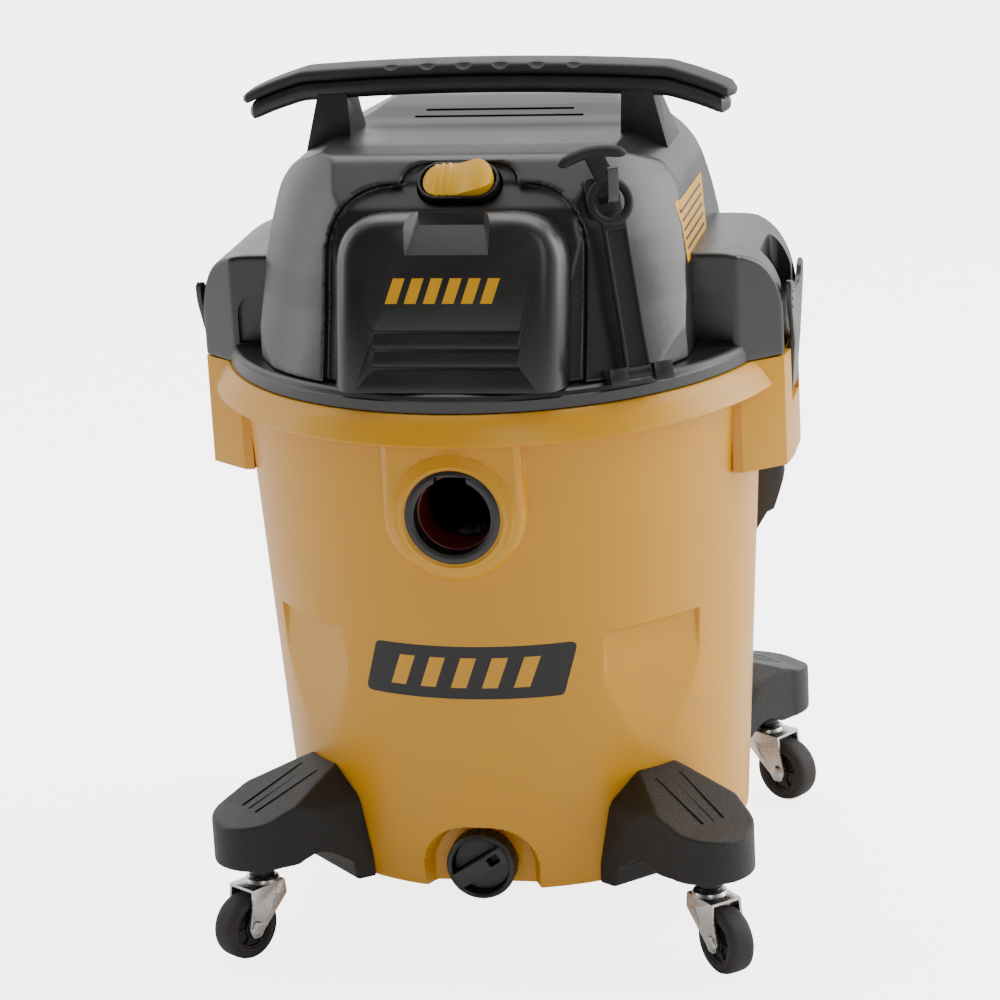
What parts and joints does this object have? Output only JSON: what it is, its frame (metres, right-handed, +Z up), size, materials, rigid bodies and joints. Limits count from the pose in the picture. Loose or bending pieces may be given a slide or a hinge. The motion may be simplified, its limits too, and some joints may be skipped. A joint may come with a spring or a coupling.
{
  "type": "shop vacuum",
  "caption": "Wet and dry shop vacuum: a drum tank on swivel casters with a lift-off motor lid, side latches, carry bar, front hose inlet and drain.",
  "frame": {"origin": "on the floor, under the centre of the overall box, on the tank's axis", "axes": "+Z up; the hose inlet faces -Y; +X is to the right of someone facing the inlet"},
  "size_m": [0.461, 0.442, 0.6573],
  "materials": {
    "tank_yellow": "moulded, semi-gloss",
    "black_plastic": "fine moulded grain",
    "leg_plastic": "coarse leather grain",
    "cover_plastic": "satin, fine grain",
    "grip_plastic": "soft grip",
    "latch_plastic": "fine grain",
    "caster_plastic": "moulded",
    "caster_tyre": "matt, slightly worn",
    "zinc": "bright zinc plate",
    "steel": "turned",
    "copper": "wound and varnished",
    "fan_metal": "stamped",
    "seal_rubber": "matt",
    "strap_rubber": "matt",
    "switch_yellow": "gloss",
    "float_plastic": "natural",
    "filter_paper": "pleated paper"
  },
  "bodies": {
    "tank_body": {"tank": "tank_yellow", "inlet_port": "black_plastic", "inlet_elbow": "black_plastic", "tool_bin": "black_plastic", "leg_front_left": "leg_plastic", "leg_front_right": "leg_plastic", "leg_rear_right": "leg_plastic", "leg_rear_left": "leg_plastic", "latch_pin_right": "steel", "latch_pin_left": "steel"},
    "lid": {"lid_base": "cover_plastic", "lid_gasket": "seal_rubber", "motor_cover": "cover_plastic", "front_panel": "cover_plastic", "handle_frame": "black_plastic", "handle_grip": "grip_plastic", "blower_port": "black_plastic", "cord_gland": "seal_rubber", "switch_bezel": "black_plastic", "switch_body": "black_plastic", "strap_anchor": "black_plastic", "strap_hook": "black_plastic", "motor_seat": "seal_rubber", "fan_shroud": "fan_metal", "stator": "steel", "filter_cage": "black_plastic"},
    "rotor": {"armature": "copper", "impeller": "fan_metal"},
    "rocker": {"switch_rocker": "switch_yellow"},
    "float": {"float_ball": "float_plastic"},
    "filter": {"filter_media": "filter_paper", "filter_cap_top": "seal_rubber", "filter_cap_bottom": "seal_rubber"},
    "strap_lower": {"strap_band": "strap_rubber"},
    "strap_upper": {"strap_loop": "strap_rubber"},
    "latch_r": {"latch_right": "latch_plastic"},
    "latch_l": {"latch_left": "latch_plastic"},
    "drain_ring": {"drain_seal": "seal_rubber"},
    "drain": {"drain_cap": "black_plastic"},
    "caster_front_left": {"stem_front_left": "caster_plastic", "fork_front_left": "zinc", "axle_front_left": "steel"},
    "caster_front_right": {"stem_front_right": "caster_plastic", "fork_front_right": "zinc", "axle_front_right": "steel"},
    "caster_rear_right": {"stem_rear_right": "caster_plastic", "fork_rear_right": "zinc", "axle_rear_right": "steel"},
    "caster_rear_left": {"stem_rear_left": "caster_plastic", "fork_rear_left": "zinc", "axle_rear_left": "steel"},
    "wheel_front_left": {"tyre_front_left": "caster_tyre", "hub_front_left": "caster_plastic"},
    "wheel_front_right": {"tyre_front_right": "caster_tyre", "hub_front_right": "caster_plastic"},
    "wheel_rear_right": {"tyre_rear_right": "caster_tyre", "hub_rear_right": "caster_plastic"},
    "wheel_rear_left": {"tyre_rear_left": "caster_tyre", "hub_rear_left": "caster_plastic"}
  },
  "joints": [
    {"name": "lid_lift", "type": "slide", "parent": "tank_body", "child": "lid", "axis": [0, 0, 1], "range_m": [0, 0.3]},
    {"name": "rotor_spin", "type": "hinge", "parent": "lid", "child": "rotor", "pos_m": [0, 0, 0.5], "axis": [0, 0, 1], "continuous": true},
    {"name": "switch_rock", "type": "hinge", "parent": "lid", "child": "rocker", "pos_m": [0, -0.1225, 0.5895], "axis": [0, 0.7071, 0.7071], "range_deg": [0, 22]},
    {"name": "float_rise", "type": "slide", "parent": "lid", "child": "float", "axis": [0, 0, 1], "range_m": [0, 0.079]},
    {"name": "filter_off", "type": "slide", "parent": "lid", "child": "filter", "axis": [0, 0, -1], "range_m": [0, 0.165]},
    {"name": "strap_swing", "type": "hinge", "parent": "lid", "child": "strap_lower", "pos_m": [0.134, -0.165, 0.4575], "axis": [-0.8655, -0.4997, -0.0358], "range_deg": [0, 1.5]},
    {"name": "strap_stretch", "type": "slide", "parent": "strap_lower", "child": "strap_upper", "axis": [-0.1601, 0.2082, 0.9649], "range_m": [0, 0.005]},
    {"name": "latch_right_swing", "type": "hinge", "parent": "tank_body", "child": "latch_r", "pos_m": [0.2215, 0, 0.404], "axis": [0, 1, 0], "range_deg": [0, 60]},
    {"name": "latch_left_swing", "type": "hinge", "parent": "tank_body", "child": "latch_l", "pos_m": [-0.2215, 0, 0.404], "axis": [0, -1, 0], "range_deg": [0, 60]},
    {"name": "drain_travel", "type": "slide", "parent": "tank_body", "child": "drain_ring", "axis": [0, -1, 0], "range_m": [0, 0.012]},
    {"name": "drain_turn", "type": "hinge", "parent": "drain_ring", "child": "drain", "pos_m": [0, -0.17, 0.074], "axis": [0, -1, 0], "range_deg": [0, 1080]},
    {"name": "swivel_front_left", "type": "hinge", "parent": "tank_body", "child": "caster_front_left", "pos_m": [-0.17303, -0.17303, 0.06], "axis": [0, 0, 1], "continuous": true},
    {"name": "swivel_front_right", "type": "hinge", "parent": "tank_body", "child": "caster_front_right", "pos_m": [0.17303, -0.17303, 0.06], "axis": [0, 0, 1], "continuous": true},
    {"name": "swivel_rear_right", "type": "hinge", "parent": "tank_body", "child": "caster_rear_right", "pos_m": [0.17303, 0.17303, 0.06], "axis": [0, 0, 1], "continuous": true},
    {"name": "swivel_rear_left", "type": "hinge", "parent": "tank_body", "child": "caster_rear_left", "pos_m": [-0.17303, 0.17303, 0.06], "axis": [0, 0, 1], "continuous": true},
    {"name": "roll_front_left", "type": "hinge", "parent": "caster_front_left", "child": "wheel_front_left", "pos_m": [-0.18392, -0.1898, 0.0254], "axis": [0.8387, -0.5446, 0], "continuous": true},
    {"name": "roll_front_right", "type": "hinge", "parent": "caster_front_right", "child": "wheel_front_right", "pos_m": [0.18641, -0.18789, 0.0254], "axis": [0.7431, 0.6691, 0], "continuous": true},
    {"name": "roll_rear_right", "type": "hinge", "parent": "caster_rear_right", "child": "wheel_rear_right", "pos_m": [0.1898, 0.16214, 0.0254], "axis": [0.5446, 0.8387, 0], "continuous": true},
    {"name": "roll_rear_left", "type": "hinge", "parent": "caster_rear_left", "child": "wheel_rear_left", "pos_m": [-0.18392, 0.1898, 0.0254], "axis": [-0.8387, -0.5446, 0], "continuous": true}
  ],
  "couplings": [
    {"joint": "drain_travel", "follows": "drain_turn", "m_per_rad": 0.00063662}
  ]
}
